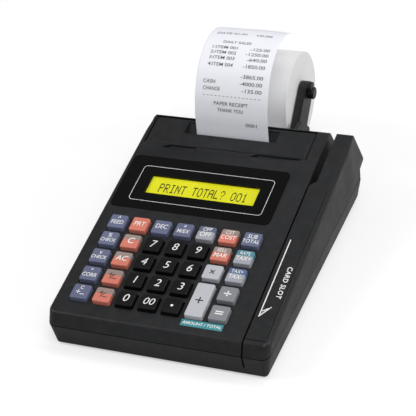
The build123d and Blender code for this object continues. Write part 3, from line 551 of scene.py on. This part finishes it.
def display_dots(words, left, v_low, dot_x, dot_v, height):
    """Dot-matrix characters: each lit dot is one small raised square."""
    bars = []
    for index, letter in enumerate(words):
        for row, line in enumerate(DOTS[letter].split()):
            for column, lit in enumerate(line):
                if lit == "1":
                    x = left + (index * 6 + column) * dot_x
                    bars.append((x, (6 - row) * dot_v, dot_x * 0.93, dot_v * 0.93, 0))
    shape = bars_shape(bars, 0.02)
    finish = printed("display_dots_dark", "#0C0D04")
    place = deck_matrix(0, v_low, height)
    return piece_from("display_dots", [(shape, place)], finish, "housing")


def rounded_outline(width, depth, radius, steps=8):
    points = []
    for cx, cy, start in ((1, 1, 0), (-1, 1, 90), (-1, -1, 180), (1, -1, 270)):
        for step in range(steps + 1):
            angle = math.radians(start + 90 * step / steps)
            points.append((cx * (width / 2 - radius) + radius * math.cos(angle),
                           cy * (depth / 2 - radius) + radius * math.sin(angle)))
    return points


def ring_shape(width, depth, radius, line, thickness=0.03):
    """A thin closed line round a rounded rectangle."""
    shape = bmesh.new()
    outer = rounded_outline(width, depth, radius)
    inner = rounded_outline(width - 2 * line, depth - 2 * line, radius - line)
    corners = ((outer, thickness), (inner, thickness), (inner, -thickness), (outer, -thickness))
    loops = [[shape.verts.new((x, y, z)) for x, y in points] for points, z in corners]
    count = len(outer)
    for first, second in zip(loops, loops[1:] + loops[:1]):
        for index in range(count):
            after = (index + 1) % count
            shape.faces.new((first[index], first[after], second[after], second[index]))
    bmesh.ops.recalc_face_normals(shape, faces=shape.faces)
    return shape


def plate_shape(width, depth, radius, thickness=0.05):
    """A thin rounded plate."""
    shape = bmesh.new()
    points = rounded_outline(width, depth, radius, 4)
    top = [shape.verts.new((x, y, thickness)) for x, y in points]
    low = [shape.verts.new((x, y, -thickness)) for x, y in points]
    shape.faces.new(top)
    shape.faces.new(low[::-1])
    for index in range(len(points)):
        after = (index + 1) % len(points)
        shape.faces.new((top[index], low[index], low[after], top[after]))
    bmesh.ops.recalc_face_normals(shape, faces=shape.faces)
    return shape


def display_pieces():
    line_x, line_v = (-65.1, 37.7), (112.6, 148.5)
    ring = ring_shape(line_x[1] - line_x[0], line_v[1] - line_v[0], 3.0, 0.34)
    place = deck_matrix(sum(line_x) / 2, sum(line_v) / 2, BEZEL_PROUD + 0.01)
    piece_from("display_line", [(ring, place)], WHITE_INK, "housing")
    display_dots("PRINT TOTAL? 001", -46.5, 125.6, 0.72, 1.25, -1.68)


# ---------------------------------------------------------------- labels on the deck
def label_pieces():
    place = deck_matrix(30.6, 8.55, 0.02)
    plate = plate_shape(29.8, 5.6, 0.4)
    piece_from("amount_label", [(plate, place)], printed("ink_teal", "#3E8E97"), "housing")
    words = text_shape("AMOUNT / TOTAL", 3.3, bold=0.05, shear=0.1)
    place = deck_matrix(30.6, 8.6, 0.08)
    piece_from("amount_words", [(words, place)], WHITE_INK, "housing")
    high = 0.41
    shaft_length = 70.9
    arrow = [
        (bars_shape([(0, 0, 0.75, shaft_length, 0)]), deck_matrix(65.95, 58.55, high)),
        (bars_shape([(0, 0, 11.4, 0.85, 56.5)]), deck_matrix(68.75, 27.6, high)),
        (bars_shape([(0, 0, 7.0, 0.7, 40.0)]), deck_matrix(69.4, 30.0, high)),
    ]
    piece_from("card_arrow", arrow, WHITE_INK, "housing")
    place = deck_matrix(73.6, 55.0, high) @ Matrix.Rotation(math.radians(-90), 4, "Z")
    words = text_shape("CARD SLOT", 5.0, bold=0.08, shear=0.12, spacing=1.1)
    piece_from("card_words", [(words, place)], WHITE_INK, "housing")


# ---------------------------------------------------------------- paper
PLATEN = (44.8, 46.0)
WRAP = 5.15
INLET = (65.9, 45.2)
FREE_LENGTH = 109.0
CROSS_CURL, RIPPLE, TOOTH_DEPTH = -0.5, 0.1, 0.7
CURL = [(39.65, 46.0), (39.95, 57.0), (40.5, 66.0), (41.9, 77.1), (46.4, 91.0), (56.2, 105.6),
        (69.9, 114.9), (84.3, 118.4), (98.3, 117.3), (111.1, 111.5)]


def tangent_point(centre, radius, outside, side):
    dy, dz = outside[0] - centre[0], outside[1] - centre[1]
    angle = math.atan2(dz, dy) + side * math.acos(radius / math.hypot(dy, dz))
    return centre[0] + radius * math.cos(angle), centre[1] + radius * math.sin(angle)


def hermite(points, count):
    """A smooth line through points, with a fixed upright start."""
    slopes = []
    for index, point in enumerate(points):
        before, after = points[max(index - 1, 0)], points[min(index + 1, len(points) - 1)]
        slope = ((after[0] - before[0]) / 2, (after[1] - before[1]) / 2)
        slopes.append((0.0, points[1][1] - points[0][1]) if index == 0 else slope)
    line = []
    for index in range(len(points) - 1):
        (ay, az), (by, bz) = points[index], points[index + 1]
        (ty, tz), (uy, uz) = slopes[index], slopes[index + 1]
        for step in range(count):
            t = step / count
            w = (2 * t**3 - 3 * t**2 + 1, t**3 - 2 * t**2 + t, 3 * t**2 - 2 * t**3, t**3 - t**2)
            line.append((w[0] * ay + w[1] * ty + w[2] * by + w[3] * uy,
                         w[0] * az + w[1] * tz + w[2] * bz + w[3] * uz))
    line.append(points[-1])
    return line


def corner_round(first, corner, last, radius, count=10):
    """A round corner between two straight runs."""
    a = Vector(first) - Vector(corner)
    b = Vector(last) - Vector(corner)
    reach = radius / math.tan(a.angle(b) / 2)
    start = Vector(corner) + a.normalized() * reach
    end = Vector(corner) + b.normalized() * reach
    points = []
    for step in range(count + 1):
        t = step / count
        points.append(tuple((1 - t) ** 2 * start + 2 * t * (1 - t) * Vector(corner) + t**2 * end))
    return points


def paper_line():
    """The paper's side view from the roll to its torn end, as (y, z) in millimetres."""
    leave = tangent_point((ROLL_Y, ROLL_Z), ROLL_RADIUS + 0.35, INLET, 1)
    meet = tangent_point(PLATEN, WRAP, INLET, -1)
    line = [leave] + corner_round(leave, INLET, meet, 9.0)
    start = math.atan2(meet[1] - PLATEN[1], meet[0] - PLATEN[0])
    for step in range(11):
        angle = start + (-math.pi - start) * step / 10
        line.append((PLATEN[0] + WRAP * math.cos(angle), PLATEN[1] + WRAP * math.sin(angle)))
    return line + hermite(CURL, 12)[1:]


def sheet_point(line, s, x):
    """Point and outward normal of the sheet at distance s from its torn end and place x across."""
    left = s
    for index in range(len(line) - 1, 0, -1):
        a, b = line[index], line[index - 1]
        step = math.dist(a, b)
        if left <= step or index == 1:
            break
        left -= step
    t = left / step
    along = ((a[0] - b[0]) / step, (a[1] - b[1]) / step)
    normal = (-along[1], along[0])
    u = (x - PAPER_MID) / (PAPER_X[1] - PAPER_X[0]) * 2
    free = max(0.0, 1 - s / FREE_LENGTH) ** 1.5
    lift = CROSS_CURL * free * u * u + RIPPLE * free * math.sin(u * 5.1 + s * 0.09)
    y = a[0] + t * (b[0] - a[0]) + normal[0] * lift
    z = a[1] + t * (b[1] - a[1]) + normal[1] * lift
    return Vector((x, y, z)), Vector((0, *normal)), Vector((0, *along))


def paper_piece(line):
    """The sheet, torn off along small teeth, with a slight cross curl towards its free end."""
    total = sum(math.dist(a, b) for a, b in zip(line, line[1:]))
    rows, columns = 124, 80
    shape = bmesh.new()
    grid = []
    for row in range(rows + 1):
        s = total * row / rows
        verts = []
        for column in range(columns + 1):
            x = PAPER_X[0] + (PAPER_X[1] - PAPER_X[0]) * column / columns
            point, normal, along = sheet_point(line, s, x)
            if row == 0 and column % 2:
                point -= along * TOOTH_DEPTH
            verts.append(shape.verts.new(point))
        grid.append(verts)
    for upper, lower in zip(grid, grid[1:]):
        for column in range(columns):
            face = shape.faces.new((lower[column], lower[column + 1], upper[column + 1], upper[column]))
            face.smooth = True
    finish = paper("receipt_paper", "#EFF0F7")
    return piece_from("receipt", [(shape, Matrix.Identity(4))], finish, None)


# Receipt lines: distance above the slot, left and right ends from the middle, and the words.
RECEIPT = [
    (86.5, -23.8, 0.0, "DATE 01-01"), (86.5, 8.0, 20.0, "10:30"),
    (75.2, -14.9, 7.3, "DAILY SALES"),
    (69.4, -21.7, -1.8, "1:ITEM 001"), (69.4, 8.4, 23.6, "-125.00"),
    (64.7, -22.0, -1.6, "2:ITEM 002"), (64.7, 5.9, 23.7, "-1250.00"),
    (60.0, -21.8, -1.8, "3:ITEM 003"), (60.0, 8.2, 23.7, "-640.00"),
    (54.5, -21.6, -1.8, "4:ITEM 004"), (54.5, 6.2, 23.6, "-1850.00"),
    (46.5, 6.1, 23.6, "-3865.00"),
    (41.3, -23.0, -13.5, "CASH"), (41.3, 6.0, 23.5, "-4000.00"),
    (36.1, -22.7, -9.4, "CHANGE"), (36.1, 8.0, 23.5, "-135.00"),
    (31.3, -22.4, 22.8, "- - - - - - - - - - - - - - -"),
    (25.3, -13.6, 13.4, "PAPER RECEIPT"),
    (20.3, -10.9, 9.4, "THANK YOU"),
    (10.0, 11.3, 20.1, "0001"),
]
RECEIPT_LETTER_HEIGHT = 2.7
PRINT_LIFT = 0.12


def receipt_print(line, slot_s):
    """Printed lines that follow the curl of the paper; slot_s is where the sheet leaves the slot."""
    joined = bmesh.new()
    for up, left, right, words in RECEIPT:
        shape = text_shape(words, 4.0, bold=0.03, thickness=0.0)
        xs = [vert.co.x for vert in shape.verts]
        stretch = (right - left) / (max(xs) - min(xs))
        tall = RECEIPT_LETTER_HEIGHT / 2.8
        for vert in shape.verts:
            x = PAPER_MID + left + (vert.co.x - min(xs)) * stretch
            point, normal, along = sheet_point(line, slot_s - up - vert.co.y * tall, x)
            vert.co = point + normal * PRINT_LIFT
        part = bpy.data.meshes.new("part")
        shape.to_mesh(part)
        shape.free()
        joined.from_mesh(part)
        bpy.data.meshes.remove(part)
    ink = printed("receipt_ink", "#383840", 0.7)
    return piece_from("receipt_print", [(joined, Matrix.Identity(4))], ink, "housing")


def paper_pieces():
    line = paper_line()
    sheet = paper_piece(line)
    thick = sheet.modifiers.new("thickness", "SOLIDIFY")
    thick.thickness = 0.09 * MM
    thick.offset = 0
    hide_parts("paper_strip")
    total = sum(math.dist(a, b) for a, b in zip(line, line[1:]))
    below = 0.0
    for a, b in zip(line, line[1:]):
        if a[1] > 59.4 and a[0] < 50:
            break
        below += math.dist(a, b)
    receipt_print(line, total - below)
    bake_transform(sheet)


# ---------------------------------------------------------------- battery contacts
BAY_ENDS = (-72.0, -8.0)
CELL_X, CELL_PITCH, CELL_Z = -26.9, 16.25, 11.4
SPRING_RADIUS, SPRING_TAPER, SPRING_LENGTH, SPRING_WIRE = 4.6, 1.8, 7.0, 0.4


def contact_spring(x, y, side):
    """A tapering coil spring that stands on the end wall at y and reaches to the side's direction."""
    turns, steps, corners = 4, 14, 6
    coil = bmesh.new()
    rings = []
    for step in range(turns * steps + 1):
        t = step / (turns * steps)
        angle = 2 * math.pi * turns * t
        out = Vector((math.cos(angle), 0, math.sin(angle)))
        centre = Vector((x, y + side * (0.9 + SPRING_LENGTH * t), CELL_Z))
        centre += out * (SPRING_RADIUS - SPRING_TAPER * t)
        ring = []
        for corner in range(corners):
            turn = 2 * math.pi * corner / corners
            offset = out * math.cos(turn) + Vector((0, 1, 0)) * math.sin(turn)
            ring.append(coil.verts.new(centre + SPRING_WIRE * offset))
        rings.append(ring)
    for a, b in zip(rings, rings[1:]):
        for corner in range(corners):
            after = (corner + 1) % corners
            coil.faces.new((a[corner], a[after], b[after], b[corner])).smooth = True
    coil.faces.new(rings[0][::-1])
    coil.faces.new(rings[-1])
    return coil


def battery_contacts():
    """Flat tabs and coil springs at the two ends of the battery bay."""
    shapes = []
    upright = Matrix.Rotation(math.radians(90), 4, "X")
    for index in range(4):
        x = CELL_X + index * CELL_PITCH
        for y, side in zip(BAY_ENDS, (1, -1)):
            if (index + (side > 0)) % 2:
                shapes.append((contact_spring(x, y, side), Matrix.Identity(4)))
            tab = plate_shape(11.5, 11.0, 1.2, 0.2)
            place = Matrix.Translation(Vector((x, y + side * 0.25, CELL_Z)) * MM) @ upright
            shapes.append((tab, place))
    finish = steel("contact_steel", "#C2C4C6", (0, 0, 1))
    piece_from("battery_contacts", shapes, finish, "housing")


# ---------------------------------------------------------------- stage
# Each light: name, place, what it points at, watts and width, in metres.
LIGHTS = (
    ("key_light", (0.75, -0.85, 1.5), (0, 0, 0.03), 12, 0.9),
    ("left_light", (-1.2, -0.5, 1.2), (0, 0, 0.03), 9, 0.8),
    ("top_light", (0.3, 0.5, 1.9), (0, 0.02, 0.03), 8, 0.8),
    ("right_light", (1.5, 0.25, 0.7), (0, 0.05, 0.05), 9, 0.7),
)
WORLD_STRENGTH = 0.3
FLOOR_GLOW = 0.5


def look(name, place, target, power, size):
    """A square soft light that points at a target."""
    light = bpy.data.lights.new(name, "AREA")
    light.energy = power
    light.shape = "RECTANGLE"
    light.size = size
    light.size_y = size
    holder = bpy.data.objects.new(name, light)
    bpy.context.collection.objects.link(holder)
    holder.location = place
    holder.rotation_euler = (Vector(target) - Vector(place)).to_track_quat("-Z", "Y").to_euler()


def stage():
    """Four lights, an even world, and a floor that looks white but lights the object as a grey one."""
    floor_shape = bmesh.new()
    bmesh.ops.create_grid(floor_shape, x_segments=8, y_segments=8, size=6.0)
    mesh = bpy.data.meshes.new("floor")
    floor_shape.to_mesh(mesh)
    floor_shape.free()
    floor = bpy.data.objects.new("floor", mesh)
    bpy.context.collection.objects.link(floor)
    shader = Shader("floor_paper")
    base = shader.mix(shader.spread(shader.noise(3, 2), 0, 1), rgb("#BEBEBE"), rgb("#C2C2C2"))
    shader.feed("Base Color", base)
    shader.set(Roughness=0.9, Emission_Color=(1, 1, 1, 1))
    seen = shader.add("ShaderNodeLightPath").outputs["Is Camera Ray"]
    shader.link(shader.math("MULTIPLY", seen, FLOOR_GLOW), shader.main.inputs["Emission Strength"])
    set_material(floor, shader.material)
    world = bpy.data.worlds.new("studio")
    bpy.context.scene.world = world
    world.use_nodes = True
    background = world.node_tree.nodes["Background"]
    background.inputs["Color"].default_value = (1, 1, 1, 1)
    background.inputs["Strength"].default_value = WORLD_STRENGTH
    for light in LIGHTS:
        look(*light)
    bpy.context.scene.view_settings.view_transform = "Standard"


CAMERA_PLACE = (367.0, -811.5, 646.4)
CAMERA_ANGLES = (25.45, 34.86, -7.77)     # azimuth, elevation and roll
CAMERA_LENS = 127.2


def camera():
    """Camera at the front right, above the table, with a slight roll."""
    azimuth, elevation, roll = (math.radians(angle) for angle in CAMERA_ANGLES)
    level = math.cos(elevation)
    back = Vector((math.sin(azimuth) * level, -math.cos(azimuth) * level, math.sin(elevation)))
    right = (-back).cross(Vector((0, 0, 1))).normalized()
    up = right.cross(-back)
    turned_right = right * math.cos(roll) + up * math.sin(roll)
    turned_up = up * math.cos(roll) - right * math.sin(roll)
    data = bpy.data.cameras.new("camera")
    data.sensor_width = 36.0
    data.lens = CAMERA_LENS
    data.clip_end = 20.0
    holder = bpy.data.objects.new("camera", data)
    bpy.context.collection.objects.link(holder)
    turn = Matrix((turned_right, turned_up, back)).transposed().to_4x4()
    holder.matrix_world = Matrix.Translation(Vector(CAMERA_PLACE) * MM) @ turn
    bpy.context.scene.camera = holder


camera()
stage()
paint_nodes()
key_legends()
display_pieces()
label_pieces()
paper_pieces()
battery_contacts()
